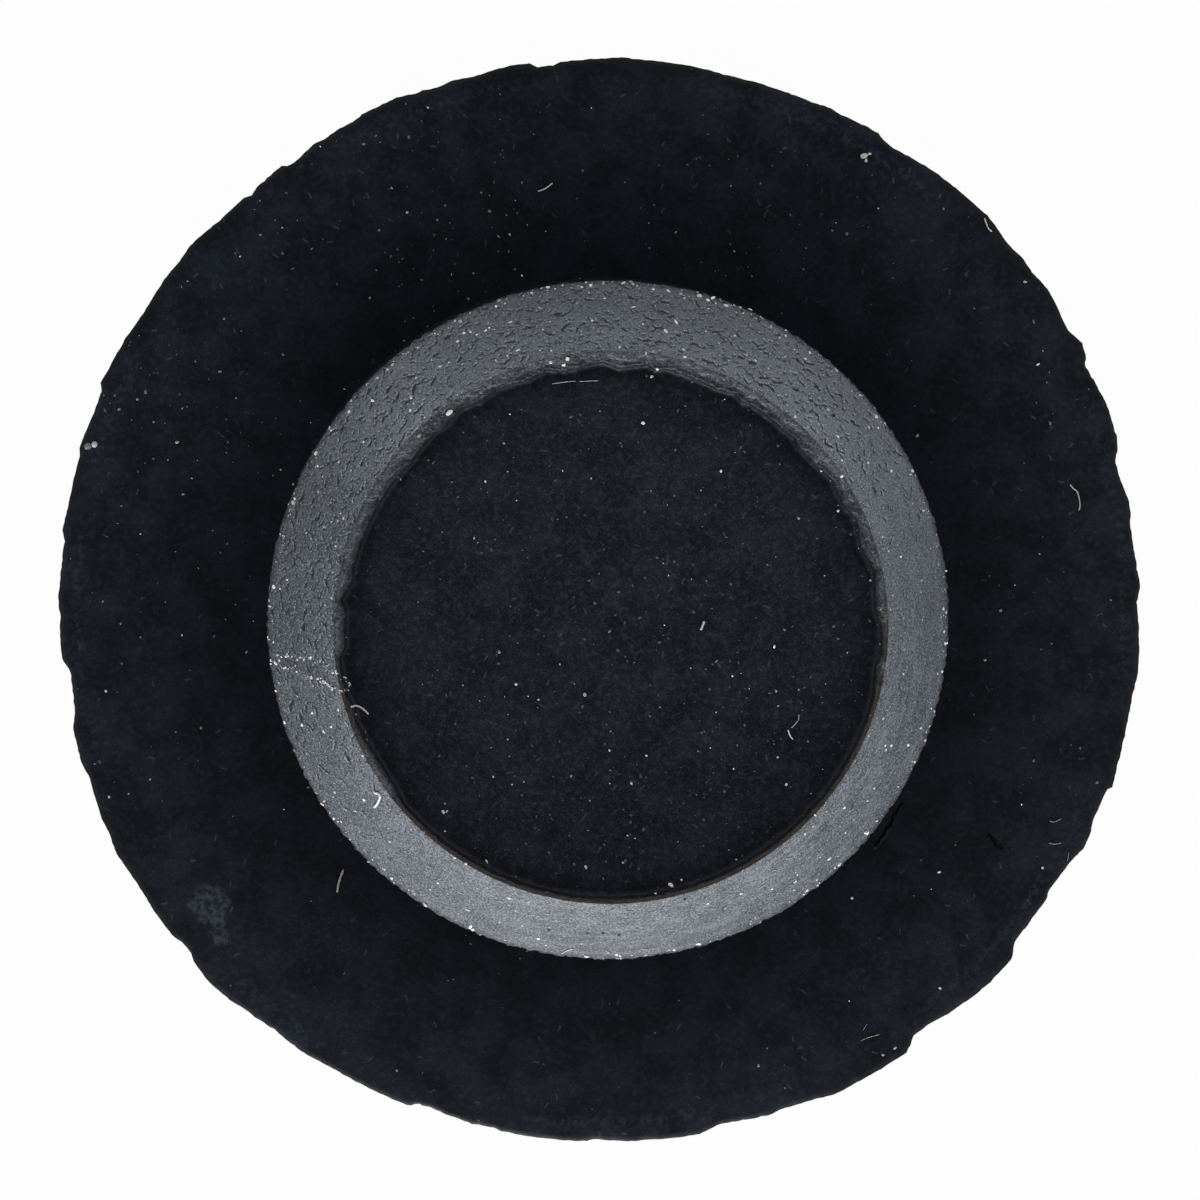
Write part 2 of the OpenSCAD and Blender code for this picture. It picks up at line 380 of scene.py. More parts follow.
# The attributes of a profile point: how far it follows the torn outlines of the film and of the nose,
# how much of the taper's grey (part bloom, part painted reflection) and of the torn rubber's finish it has,
# how much of the film's painted shade and of the rim line's painted highlight it has, how much painted
# shade it has, and the height in millimetres of its grain, its ragged tears and its wrinkles
TRAITS = (
    "film_share", "tear_share", "taper", "tear", "film", "rim_line", "deep", "grain", "ragged", "wrinkle",
)


def profile():
    """The section from the middle of the end face, round the outside, to the end of the back's hole."""
    points = []

    def add(stretch, follows=(), **traits):
        """Adds points (r, z) that may carry shares of their own, of the traits named in follows."""
        for r, z, *shares in stretch:
            values = dict.fromkeys(TRAITS, 0.0)
            values.update(traits)
            values.update(zip(follows, shares))
            points.append((r, z, [values[name] for name in TRAITS]))

    sphere_r = (DISH_R ** 2 + DISH_DEPTH ** 2) / (2 * DISH_DEPTH)
    dish_r = [DISH_R * i / 5 for i in range(6)]
    dish = [(r, END_Z - DISH_DEPTH + sphere_r - math.sqrt(sphere_r ** 2 - r ** 2)) for r in dish_r]
    add(dish[:-1])
    add(dish[-1:], deep=0.2)
    # At the lip, painted shade darkens the torn wall and the end face beside it
    lip = [
        (DISH_R + 0.15, END_Z, 0.2, 0.25, 0.0, 0.0),
        (LIP_R - 0.05, END_Z, 1.03, 0.5, 0.0, 0.03),
        (LIP_R, NOSE_Z - 0.12, 1.0, 0.5, 0.3, 0.06),
        (LIP_R + 0.02, NOSE_Z - 0.06, 0.95, 0.35, 1.0, 0.08),
        (LIP_R + 0.06, NOSE_Z - 0.035, 0.5, 0.0, 1.0, 0.08),
        (NOSE_R, NOSE_Z - 0.01, 0.0, 0.0, 1.0, 0.03),
    ]
    for start, end, steps in zip(lip, lip[1:], (4, 3, 2, 6, 6)):
        add(line(start, end, steps), ("tear_share", "deep", "tear", "ragged"), grain=0.02)

    taper_top = (NOSE_R + 0.04, NOSE_Z - 0.045)
    taper_foot = (HEAD_R - 0.05, TAPER_Z + 0.055)
    add(line(lip[-1][:2], taper_top, 2), taper=1.0, grain=0.02, ragged=0.02)
    add(line(taper_top, taper_foot, 28), taper=1.0, grain=0.012, wrinkle=0.03)
    add([taper_foot], taper=1.0, grain=0.02, ragged=0.07)
    head_edge = [
        (HEAD_R - 0.02, TAPER_Z + 0.015, 0.75, 0.1),
        (HEAD_R, TAPER_Z - 0.04, 0.35, 0.5),
        (HEAD_R, TAPER_Z - 0.15, 0.12, 0.9),
    ]
    add(head_edge, ("taper", "deep"), grain=0.02, ragged=0.09)
    band_foot_z = GROOVE_TOP_Z + HEAD_EDGE_R
    # Painted shade on the head's side under its edge and in the groove below it
    add(line((HEAD_R, TAPER_Z - 0.3), (HEAD_R, band_foot_z), 2), deep=1.0, grain=0.012)
    add(corner(HEAD_R - HEAD_EDGE_R, band_foot_z, HEAD_EDGE_R, 0, -90, 4), deep=0.9, grain=0.008)
    for z, start in ((GROOVE_TOP_Z - GROOVE_CORNER_R, 90), (FLANGE_T + GROOVE_CORNER_R, 180)):
        add(corner(NECK_R + GROOVE_CORNER_R, z, GROOVE_CORNER_R, start, start + 90, 3), deep=0.7)

    # Painted shade on the flange round the head, fading out towards SHADE_END_R
    add([(NECK_R + 0.5, FLANGE_T)], deep=0.6)
    add(line((SHADE_R, FLANGE_T, 0.6), (SHADE_END_R, FLANGE_T, 0.0), 5), ("deep",))
    add([(SHADE_END_R, FLANGE_T)])
    rim = [
        (FLANGE_R - 0.3, FLANGE_T, 0.0, 0.0, 0.0),
        (FLANGE_R - 0.15, FLANGE_T - 0.002, 0.1, 1.0, 0.0),
        (FLANGE_R - 0.09, FLANGE_T - 0.004, 0.35, 0.3, 0.1),
        (FLANGE_R - 0.04, FLANGE_T - 0.010, 0.7, 0.0, 0.5),
    ]
    add(rim, ("film_share", "rim_line", "film"), grain=0.01, ragged=0.01)
    film = [
        (FLANGE_R, FLANGE_T - 0.025, 0.9),
        (FLANGE_R, FLANGE_T - 0.06, 0.98),
        (FLANGE_R, FILM_MIDDLE_Z, 1.0),
        (FLANGE_R, FILM_Z + 0.03, 0.9),
        (FLANGE_R, FILM_Z, 0.45),
        (FLANGE_R - 0.01, FILM_Z, 0.0),
    ]
    add(film, ("film_share",), film=1.0, deep=0.6, grain=0.02, ragged=0.04)
    add([(FLANGE_R, FILM_Z - 0.05)], grain=0.012)

    flange_edge = FLANGE_R - FLANGE_EDGE_R
    add(corner(flange_edge, FLANGE_EDGE_R, FLANGE_EDGE_R, 0, -90, 4), grain=0.008)
    add(line((flange_edge - 1.0, 0), (CORE_R + CORE_BEVEL, 0), 3))
    add([(CORE_R + CORE_BEVEL, 0), (CORE_R, CORE_BEVEL)])
    add(line((CORE_R, CORE_BEVEL + 0.5), (CORE_R, CORE_END_Z - CORE_CORNER_R), 2), grain=0.006)
    add(corner(CORE_R - CORE_CORNER_R, CORE_END_Z - CORE_CORNER_R, CORE_CORNER_R, 0, 90, 4), grain=0.006)
    add([(CORE_R / 3, CORE_END_Z), (0, CORE_END_Z)])
    return points


def geometry_tree(name, inputs):
    """A Geometry Nodes tree with named inputs, given as name: (socket type, value)."""
    tree = bpy.data.node_groups.new(name, "GeometryNodeTree")
    face = tree.interface
    face.new_socket("Geometry", in_out="INPUT", socket_type="NodeSocketGeometry")
    face.new_socket("Geometry", in_out="OUTPUT", socket_type="NodeSocketGeometry")
    values = {}
    for title, (kind, value) in inputs.items():
        socket = face.new_socket(title, in_out="INPUT", socket_type="NodeSocket" + kind)
        values[socket.identifier] = value
    graph = Graph(tree)
    source = graph.node("NodeGroupInput")
    return graph, source, values


def apply_tree(carrier, graph, result, values, material, name):
    """Ends a tree, runs it on carrier and returns the outcome as a plain mesh object."""
    real = graph.node("GeometryNodeRealizeInstances", inputs={"Geometry": result})
    finished = graph.node("GeometryNodeSetMaterial", inputs={"Geometry": real, "Material": material})
    graph.node("NodeGroupOutput", inputs={0: finished})
    modifier = carrier.modifiers.new(name, "NODES")
    modifier.node_group = graph.tree
    for identifier, value in values.items():
        modifier[identifier] = value
    shown = carrier.evaluated_get(bpy.context.evaluated_depsgraph_get())
    mesh = bpy.data.meshes.new_from_object(shown)
    carrier.modifiers.remove(modifier)
    return add_object(name, mesh)


def add_object(name, mesh):
    mesh.name = name
    made = bpy.data.objects.new(name, mesh)
    bpy.context.scene.collection.objects.link(made)
    return made


def attribute(graph, name, kind="FLOAT"):
    return graph.node("GeometryNodeInputNamedAttribute", {"data_type": kind}, {"Name": name})


def store(graph, geometry, name, value):
    settings = {"data_type": "FLOAT", "domain": "POINT"}
    inputs = {"Geometry": geometry, "Name": name, "Value": value}
    return graph.node("GeometryNodeStoreNamedAttribute", settings, inputs)


def geometry_of(graph, carrier):
    return graph.node("GeometryNodeObjectInfo", inputs={"Object": carrier}).output("Geometry")


def round_coordinates(graph, position, stretch):
    """Coordinates that run round the axis without a seam, in millimetres and finer by stretch along the
    axis, and the direction outwards from the axis."""
    x, y, z = graph.split(position)
    outward = graph.vector("NORMALIZE", graph.join(x, y, 0.0))
    along = graph.join(0.0, 0.0, z * (stretch / MM))
    return graph.vector("ADD", graph.vector("SCALE", outward, HEAD_R), along), outward


def revolve(material):
    """The moulding: the profile turned round the axis, its torn outlines taken from the CAD part."""
    sweep_r = NECK_R * MM
    points = profile()
    mesh = bpy.data.meshes.new("grommet_profile")
    places = [(r * MM - sweep_r, -z * MM, 0.0) for r, z, _ in points]
    mesh.from_pydata(places, [(i, i + 1) for i in range(len(points) - 1)], [])
    for index, name in enumerate(TRAITS):
        trait = mesh.attributes.new(name, "FLOAT", "POINT")
        trait.data.foreach_set("value", [values[index] for _, _, values in points])
    carrier = add_object("grommet_profile", mesh)

    graph, source, values = geometry_tree("revolved_moulding", {
        "Steps Round": ("Int", 900),
        "Sweep Radius": ("Float", sweep_r),
        "CAD Part": ("Object", CAD_PART),
        "Film Height": ("Float", FILM_MIDDLE_Z * MM),
        "Tear Height": ("Float", TEAR_MIDDLE_Z * MM),
        "Worn Side": ("Vector", WORN_SIDE),
    })
    path = graph.node("GeometryNodeCurvePrimitiveCircle", inputs={
        "Resolution": source.output("Steps Round"), "Radius": source.output("Sweep Radius")})
    section = graph.node("GeometryNodeMeshToCurve", inputs={"Mesh": source.output("Geometry")})
    turned = graph.node("GeometryNodeCurveToMesh", inputs={"Curve": path, "Profile Curve": section})
    turned = graph.node("GeometryNodeMergeByDistance", inputs={"Geometry": turned, "Distance": 0.002 * MM})

    position = graph.node("GeometryNodeInputPosition")
    coordinates, outward = round_coordinates(graph, position, WRINKLE_STRETCH)
    part = geometry_of(graph, source.output("CAD Part"))

    def reach_of(start, direction):
        """How far from the axis a ray from start meets the CAD part."""
        hit = graph.node("GeometryNodeRaycast", inputs={
            "Target Geometry": part, "Source Position": start, "Ray Direction": direction,
            "Ray Length": 0.05}).output("Hit Position")
        return graph.vector("LENGTH", graph.vector("MULTIPLY", hit, FROM_ABOVE))

    far = graph.vector("SCALE", outward, OUTSIDE_R * MM)
    film_start = graph.vector("ADD", far, graph.join(0.0, 0.0, source.output("Film Height")))
    inward = graph.vector("SCALE", outward, -1.0)
    film_reach = reach_of(film_start, inward) - FLANGE_R * MM
    tear_start = graph.join(0.0, 0.0, source.output("Tear Height"))
    tear_reach = reach_of(tear_start, outward) - LIP_R * MM
    torn = graph.step(tear_reach, -0.02 * MM, -0.1 * MM)
    shift = attribute(graph, "film_share") * film_reach + attribute(graph, "tear_share") * tear_reach
    offset = graph.vector("SCALE", outward, shift)
    turned = graph.node("GeometryNodeSetPosition", inputs={"Geometry": turned, "Offset": offset})
    share = attribute(graph, "tear_share")
    tear = attribute(graph, "tear")
    turned = store(graph, turned, "clean_lip", tear * (1 - torn))
    flaked = tear * torn
    foot_line = flaked * graph.step(share, 0.3, 0.2) * graph.step(share, 0.0, 0.06)
    turned = store(graph, turned, "foot_line", foot_line)
    # The taper's grey, part bloom and part painted reflection, reaches into the torn band on the +Y side
    faded = graph.step(graph.split(outward)[1], 0.2, 0.9) * 0.2
    bloomed_and_reflecting = flaked * graph.step(share, 0.9, 0.0) * faded
    turned = store(graph, turned, "taper", attribute(graph, "taper") + bloomed_and_reflecting)
    turned = store(graph, turned, "tear", flaked)

    worn = graph.vector("DOT_PRODUCT", outward, source.output("Worn Side")) * 0.5 + 0.5
    normal = graph.node("GeometryNodeInputNormal")
    turned = store(graph, turned, "level", graph.step(graph.split(normal)[2], 0.75, 0.9))
    grain = (graph.noise(position, 5.0 / MM, 2.0) - 0.5) * attribute(graph, "grain")
    uneven = attribute(graph, "ragged") * (1 - attribute(graph, "clean_lip") * 0.6)
    ragged = (graph.noise(position, 6.0 / MM, 3.0, 0.6) - 0.5) * uneven
    folds = graph.noise(coordinates, *WRINKLE_PATTERN) - 0.5
    wrinkle = folds * attribute(graph, "wrinkle") * (worn * 0.9 + 0.1)
    lift = (grain + ragged + wrinkle) * (2.0 * MM)
    turned = graph.node("GeometryNodeSetPosition", inputs={
        "Geometry": turned, "Offset": graph.vector("SCALE", normal, lift)})
    turned = graph.node("GeometryNodeSetShadeSmooth", inputs={"Geometry": turned})
    made = apply_tree(carrier, graph, turned, values, material, "grommet_rubber")
    bpy.data.objects.remove(carrier)
    point_outwards(made.data)
    return made


def point_outwards(mesh):
    shell = bmesh.new()
    shell.from_mesh(mesh)
    bmesh.ops.recalc_face_normals(shell, faces=shell.faces)
    if shell.calc_volume(signed=True) < 0:
        bmesh.ops.reverse_faces(shell, faces=shell.faces)
    shell.to_mesh(mesh)
    shell.free()


# Materials

def object_place(graph):
    """Object coordinates, in millimetres."""
    place = graph.node("ShaderNodeTexCoord", output="Object")
    return place, graph.vector("SCALE", place, 1 / MM)


def new_material(name):
    material = bpy.data.materials.new(name)
    material.use_nodes = True
    material.node_tree.nodes.clear()
    return material, Graph(material.node_tree)


def finish_material(graph, inputs):
    surface = graph.node("ShaderNodeBsdfPrincipled", inputs=inputs)
    graph.node("ShaderNodeOutputMaterial", inputs={"Surface": surface})


def stroke(graph, place_mm, path, reach, soft):
    """1 within reach of a path through points in millimetres, falling to 0 over soft."""
    mask = None
    for start, end in zip(path, path[1:]):
        along = end - start
        from_start = graph.vector("SUBTRACT", place_mm, start)
        run = graph.vector("DOT_PRODUCT", from_start, along)
        share = graph.math("MULTIPLY", run, 1 / along.length_squared, clamp=True)
        away = graph.vector("DISTANCE", from_start, graph.vector("SCALE", along, share))
        near = 1 - graph.step(away, reach, reach + soft)
        mask = near if mask is None else graph.math("MAXIMUM", mask, near)
    return mask


def spot(graph, place_mm, centre, reach, soft):
    """1 within reach of a point in millimetres, falling to 0 over soft. Reach has a part for x, y and z."""
    away = graph.vector("SUBTRACT", place_mm, centre)
    shares = graph.vector("MULTIPLY", away, [1 / part for part in reach])
    return 1 - graph.step(graph.vector("LENGTH", shares), 1.0, 1.0 + soft)


def rubber(graph, marks):
    """Black rubber: blue-black faces, a grey on the taper that is part bloom and part painted reflection,
    paler where it is torn, with painted shade and painted highlights in places.
    """
    place, place_mm = object_place(graph)
    coordinates, outward = round_coordinates(graph, place, STREAK_STRETCH)

    def trait(name):
        return graph.node("ShaderNodeAttribute", {"attribute_name": name}, output="Fac")

    taper = trait("taper")
    tear = trait("tear")
    share = trait("tear_share")
    from_above = graph.vector("MULTIPLY", place_mm, FROM_ABOVE)
    radius = graph.vector("LENGTH", from_above)
    on_end = graph.step(graph.split(place_mm)[2], END_LEVEL_Z, END_LEVEL_Z + 0.3)
    at_top = graph.step(graph.split(outward)[1], 0.72, 1.0)
    at_left = graph.step(graph.split(outward)[0], -0.7, -1.0)
    clouds = graph.noise(place_mm, *CLOUD_PATTERN)
    fine = graph.noise(place_mm, *FINE_PATTERN)
    grain = graph.noise(place_mm, *GRAIN_PATTERN)
    curls = graph.noise(place_mm, *CURL_PATTERN)
    streaks = graph.noise(coordinates, *STREAK_PATTERN)
    stretches = graph.noise(place_mm, *STRETCH_PATTERN)
    tangent = graph.vector("CROSS_PRODUCT", AXIS, outward)

    def dashes(cells, width, length):
        """A short bent dash in each cell of a pattern seen from above, the lip beside it that takes a
        painted highlight, and the cell's luck.
        On the taper the dashes run round the axis, elsewhere they lie every way."""
        cell = graph.node("ShaderNodeTexVoronoi", {"voronoi_dimensions": "2D"}, {
            "Vector": from_above, "Scale": cells}, "Position")
        away = graph.vector("SUBTRACT", from_above, cell)
        turn, bend, luck = graph.split(cell.output("Color"))
        lean = graph.vector("SCALE", outward, (turn - 0.5) * (7.0 - taper * 5.8))
        along = graph.vector("NORMALIZE", graph.vector("ADD", tangent, lean))
        across = graph.vector("CROSS_PRODUCT", along, AXIS)
        run = graph.vector("DOT_PRODUCT", away, along)
        bow = run * run * (bend * 4.0 - 2.0)
        off = graph.vector("DOT_PRODUCT", away, across) + bow + (curls - 0.5) * 0.12
        reach = luck * length + 0.3 * length
        ends = 1 - graph.step(graph.math("ABSOLUTE", run), reach * 0.6, reach)
        # The groove takes painted shade on the taper and a pale scratch on level faces; the lip a painted
        # highlight
        groove = (1 - graph.step(graph.math("ABSOLUTE", off), width * 0.5, width)) * ends
        within = 1 - graph.step(off, width * 1.4, width * 2.4)
        lip = graph.step(off, width * 0.9, width * 1.2) * within * ends
        return groove, lip, luck

    crack, crack_highlight, crack_luck = dashes(*CRACK_DASHES)
    curl, curl_highlight, curl_luck = dashes(*CURL_DASHES)
    wrinkled = graph.step(graph.vector("DOT_PRODUCT", outward, WORN_SIDE), -0.4, 0.7)
    cracked = graph.step(crack_luck + wrinkled, 1.0, 1.2) * graph.step(fine, 0.34, 0.5) * taper
    curled = graph.step(curl_luck + wrinkled, 0.9, 1.0) * taper
    highlight_grain = graph.step(grain, 0.42, 0.6)

    flat = graph.blend(graph.step(clouds, 0.36, 0.64), FACE_DARK, FACE_PALE)
    mottle = on_end * 0.5 + 0.5
    flat = graph.blend(graph.step(fine, 0.48, 0.7) * mottle * 0.5, flat, FACE_MOTTLE)
    flat = graph.blend(graph.step(fine, 0.5, 0.32) * mottle * 0.35, flat, FACE_DEEP)
    flat = graph.blend(graph.step(grain, 0.5, 0.68) * on_end * 0.25, flat, END_GRAIN_PALE)
    flat = graph.blend(graph.step(grain, 0.5, 0.32) * on_end * 0.4, flat, END_GRAIN_DARK)
    scratched = graph.step(graph.math("ABSOLUTE", crack_luck - 0.2), 0.05, 0.03) * trait("level")
    flat = graph.blend(crack * scratched * 0.35, flat, FACE_SCRATCH)
    flat = graph.blend(graph.step(grain, 0.68, 0.8) * graph.step(clouds, 0.42, 0.6) * 0.7, flat, FACE_SPECK)

    # The taper's grey: part bloom, part painted reflection of the bright surroundings
    bloom_and_reflection = graph.blend(graph.step(grain * 0.8 + clouds * 0.2, 0.32, 0.68), BLOOM_AND_REFLECTION_DARK, BLOOM_AND_REFLECTION_PALE)
    bloom_and_reflection = graph.blend(graph.step(grain, 0.68, 0.78) * 0.7, bloom_and_reflection, BLOOM_SPECK)
    # Painted light on one side of the taper, and a paler frost on its wrinkled side
    painted_light = graph.step(graph.vector("DOT_PRODUCT", outward, PAINTED_LIGHT_SIDE), 0.6, 1.0)
    bloom_and_reflection = graph.blend(wrinkled * (1 - at_left) * 0.12 + painted_light * 0.08, bloom_and_reflection, BLOOM_FROST_AND_PAINTED_LIGHT)
    streaked = graph.step(graph.vector("DOT_PRODUCT", outward, STREAKED_SIDE), 0.1, 0.8)
    bloom_and_reflection = graph.blend(graph.step(streaks, 0.52, 0.66) * streaked * 0.22, bloom_and_reflection, STREAK_PALE)
    bloom_and_reflection = graph.blend(graph.step(streaks, 0.48, 0.36) * streaked * 0.35, bloom_and_reflection, STREAK_DARK)

    torn = graph.blend(graph.step(grain * 0.6 + streaks * 0.4, 0.34, 0.64), TORN_DARK, TORN_PALE)
    torn = graph.blend(graph.step(share + (curls - 0.5) * 0.9, 0.1, 1.1) * 0.75, torn, TORN_INNER)
    torn = graph.blend(graph.step(fine, 0.6, 0.7) * (1 - share) * 0.6, torn, TORN_FLAKE)

    colour = graph.blend(tear, flat, torn)
    colour = graph.blend(taper, colour, bloom_and_reflection)
    # Painted shade in the taper's cracks and curls, and painted highlights on their lips
    colour = graph.blend(curl_highlight * curled * highlight_grain * 0.7, colour, LIP_PAINTED_HIGHLIGHT)
    colour = graph.blend(curl * curled * 0.75, colour, CURL_PAINTED_SHADE)
    colour = graph.blend(crack_highlight * cracked * highlight_grain * 0.6, colour, LIP_PAINTED_HIGHLIGHT)
    colour = graph.blend(crack * cracked * 0.95, colour, CUT_PAINTED_SHADE)
    # Painted shade on the taper: darker towards its outer edge, at the top and at the left
    shaded = graph.step(radius, 6.1, 7.4) * 0.24 + at_top * 0.2 + at_left * 0.12
    colour = graph.blend(shaded * taper, colour, BLOOM_PAINTED_SHADE)
    # Painted shade on the taper's rounded outer edge
    rim = graph.step(radius + (fine - 0.5) * 0.14, 7.42, 7.56) * taper
    colour = graph.blend(rim * 0.6, colour, RIM_PAINTED_SHADE)
    colour = graph.blend(trait("foot_line") * graph.step(clouds, 0.4, 0.5) * 0.4, colour, TORN_FOOT)
    clean = trait("clean_lip")
    fringe = graph.step(grain * 0.5 + fine * 0.5, 0.35, 0.65)
    colour = graph.blend(clean, colour, graph.blend(fringe, CLEAN_DARK, CLEAN_PALE))
    # Painted highlight in broken strokes along the flange's top edge
    rim_highlight = trait("rim_line") * graph.step(fine, 0.42, 0.6) * graph.step(stretches, 0.48, 0.6)
    colour = graph.blend(rim_highlight * 0.3, colour, RIM_PAINTED_HIGHLIGHT)
    # Painted shade in streaks on the film at the flange's edge
    colour = graph.blend(trait("film") * graph.step(stretches, 0.62, 0.42) * 0.7, colour, FILM_PAINTED_SHADE)

    rough = graph.vector("ADD", place_mm, graph.join((curls - 0.5) * 0.3, (curls - 0.5) * 0.2, 0.0))
    # Painted shade in the slits and pits, and a painted highlight along the foot slit's lip
    slit = graph.math("MAXIMUM", stroke(graph, rough, marks["foot_slit"], 0.024, 0.03),
                      stroke(graph, rough, marks["flange_slit"], 0.02, 0.06) * 0.8)
    slit_highlight = stroke(graph, rough, marks["foot_slit_lip"], 0.012, 0.03) * graph.step(fine, 0.35, 0.6)
    # Painted shade along the crack that crosses the taper
    crack_shade = stroke(graph, rough, marks["crack"], 0.10, 0.08) * graph.step(fine, 0.6, 0.42)
    colour = graph.blend(crack_shade * 0.55, colour, CRACK_PAINTED_SHADE)
    colour = graph.blend(slit_highlight * 0.6, colour, SLIT_LIP_PAINTED_HIGHLIGHT)
    colour = graph.blend(slit, colour, SLIT_PAINTED_SHADE)
    for pit in marks["pits"]:
        colour = graph.blend(spot(graph, place_mm, pit, (0.03, 0.03, 0.06), 0.8), colour, PIT_PAINTED_SHADE)
    wobble = graph.join((curls - 0.5) * 0.5, (clouds - 0.5) * 0.5, 0.0)
    shaken = graph.vector("ADD", place_mm, wobble)
    for centre, across, along in marks["smudges"]:
        chalk = spot(graph, shaken, centre, (across, along, 1.0), 0.6)
        colour = graph.blend(chalk * graph.step(fine, 0.3, 0.7) * 0.7, colour, CHALK)

    height = grain * (taper * 0.008 + tear * 0.016 + 0.004)
    normal = graph.node("ShaderNodeBump", inputs={"Strength": 1.0, "Distance": MM, "Height": height})
    faces = graph.node("ShaderNodeBsdfPrincipled", inputs={
        "Base Color": colour,
        "Roughness": clouds * 0.12 + taper * 0.2 + 0.36,
        "Specular IOR Level": 0.3,
        "Normal": normal,
    })
    # Painted shade: a darker, matter finish mixed in where shade falls, under the head, in the groove, on
    # the flange round the head, on the film, at the lip and in the slits
    painted_shade_colour = graph.blend(slit, graph.blend(clouds, PAINTED_SHADE_DARK, PAINTED_SHADE_PALE), SLIT_DEPTH_PAINTED_SHADE)
    painted_shade_surface = graph.node("ShaderNodeBsdfPrincipled", inputs={
        "Base Color": painted_shade_colour,
        "Roughness": clouds * 0.2 + 0.7,
        "Specular IOR Level": 0.06,
        "Normal": normal,
    })
    painted_shade_share = graph.math("MAXIMUM", trait("deep") * (1 - clean * 0.5), slit)
    surface = graph.node("ShaderNodeMixShader", inputs={0: painted_shade_share, 1: faces, 2: painted_shade_surface})
    graph.node("ShaderNodeOutputMaterial", inputs={"Surface": surface})


def dust_finish():
    """Grey to white dust, with a little cream in some of it."""
    material, graph = new_material("pale_dust")
    _, place_mm = object_place(graph)
    pale = graph.node("ShaderNodeAttribute", {"attribute_name": "pale"}, output="Fac")
    tone = graph.noise(place_mm, 30.0, 2.0) * 0.3 + pale * 0.7
    colour = graph.blend(graph.step(tone, 0.1, 0.9), DUST_GREY, DUST_WHITE)
    on_flange = graph.step(graph.split(place_mm)[2], GROOVE_TOP_Z, FLANGE_T)
    cream = graph.step(graph.noise(place_mm, 1.5, 1.0), 0.42, 0.55) * on_flange
    colour = graph.blend(cream * 0.45, colour, DUST_CREAM)
    grain = graph.noise(place_mm, 40.0, 2.0) * 0.01
    normal = graph.node("ShaderNodeBump", inputs={"Strength": 0.6, "Distance": MM, "Height": grain})
    finish_material(graph, {"Base Color": colour, "Roughness": tone * 0.3 + 0.5, "Normal": normal})
    return material


def lint_finish():
    """White to straw-coloured fibres."""
    material, graph = new_material("pale_lint")
    _, place_mm = object_place(graph)
    straw = graph.node("ShaderNodeAttribute", {"attribute_name": "straw"}, output="Fac")
    tone = graph.noise(place_mm, 18.0, 2.0) * 0.4 + straw * 0.8
    colour = graph.blend(graph.step(tone, 0.1, 1.0), LINT_WHITE, LINT_STRAW)
    grain = graph.noise(place_mm, 30.0, 2.0) * 0.008
    normal = graph.node("ShaderNodeBump", inputs={"Strength": 0.5, "Distance": MM, "Height": grain})
    finish_material(graph, {"Base Color": colour, "Roughness": tone * 0.2 + 0.5, "Normal": normal})
    return material


# Dust and lint

class Photo:
    """Finds what a pixel of the photograph shows on the moulding."""

    def __init__(self, body):
        mesh = body.data
        self.skin = BVHTree.FromPolygons([v.co for v in mesh.vertices], [p.vertices for p in mesh.polygons])
        self.right, self.up, self.back = view_axes()
        self.eye = VIEW_TARGET + self.back * VIEW_DISTANCE

    def find(self, x, y):
        """The place on the moulding, and the direction that it faces."""
        across = self.right * (x - PHOTO_W / 2) + self.up * (PHOTO_W / 2 - y)
        aim = VIEW_TARGET + across * (MM / PX_PER_MM)
        place, facing, _, _ = self.skin.ray_cast(self.eye, aim - self.eye)
        if place is None:
            place, facing, _, _ = self.skin.find_nearest(aim)
        return place, facing

    def find_mm(self, x, y):
        return self.find(x, y)[0] / MM

    def find_path(self, path):
        return [self.find_mm(x, y) for x, y in path]


